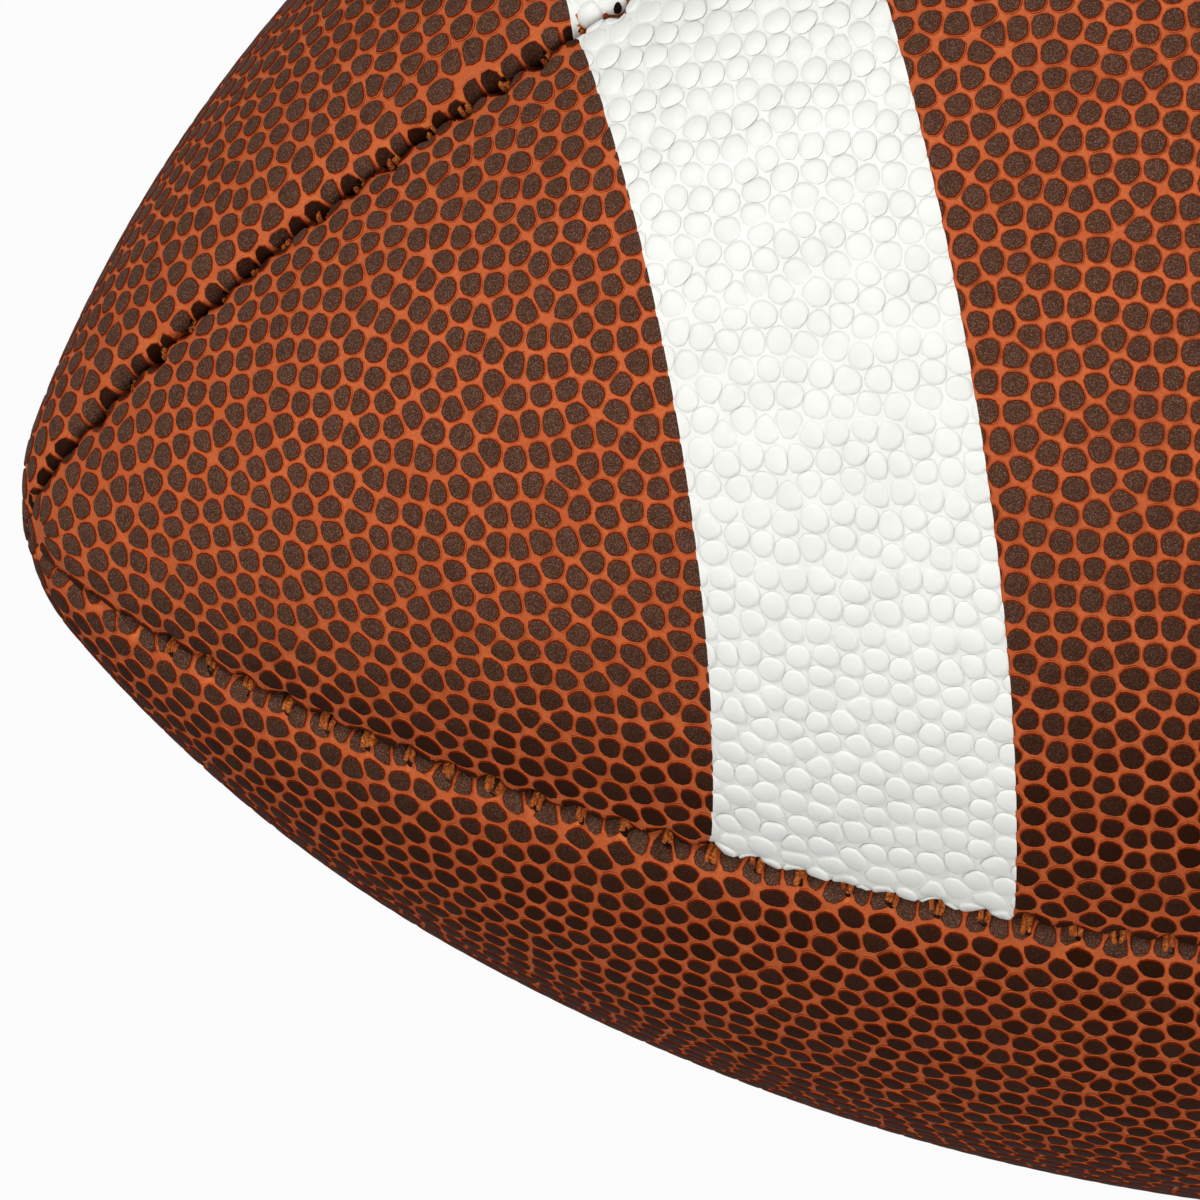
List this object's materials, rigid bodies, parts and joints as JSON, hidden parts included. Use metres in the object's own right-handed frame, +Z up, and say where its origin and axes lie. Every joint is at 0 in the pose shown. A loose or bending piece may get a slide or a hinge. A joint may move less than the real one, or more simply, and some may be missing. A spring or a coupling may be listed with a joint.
{
  "type": "american football",
  "caption": "Prolate inflatable ball with pebbled panels sewn along puffed seams, white end stripes, laces and a needle valve, for throwing and kicking.",
  "frame": {"origin": "centre of the ball", "axes": "+X from nose to nose, +Z up through the lace, -Y towards the front panels"},
  "size_m": [0.284, 0.162, 0.1652],
  "materials": {
    "cover_leather": "pebbled, dark brown over orange-brown valleys",
    "stripe_paint": "white paint film over the pebbles",
    "lining_cloth": "plain woven cloth",
    "seam_thread": "waxed thread",
    "lace_strip": "white grained strip",
    "facing_cloth": "coated cloth",
    "bladder_rubber": "smooth moulded rubber",
    "valve_rubber": "moulded rubber",
    "core_rubber": "soft moulded rubber"
  },
  "bodies": {
    "root": {"panel_upper_front": "cover_leather", "panel_upper_rear": "cover_leather", "panel_lower_front": "cover_leather", "panel_lower_rear": "cover_leather", "stripe_left_front": "stripe_paint", "stripe_left_rear": "stripe_paint", "stripe_right_front": "stripe_paint", "stripe_right_rear": "stripe_paint", "lining_upper_front": "lining_cloth", "lining_upper_rear": "lining_cloth", "lining_lower_front": "lining_cloth", "lining_lower_rear": "lining_cloth", "seam_stitches_front": "seam_thread", "seam_stitches_rear": "seam_thread", "seam_stitches_bottom": "seam_thread", "seam_stitches_top_left": "seam_thread", "seam_stitches_top_right": "seam_thread", "lace_cross_run": "lace_strip", "lace_centre_run": "lace_strip", "lace_facing_front": "facing_cloth", "lace_facing_rear": "facing_cloth", "lace_tongue": "facing_cloth", "bladder": "bladder_rubber", "valve_patch": "bladder_rubber", "valve_housing": "valve_rubber", "valve_core": "core_rubber"}
  },
  "joints": []
}
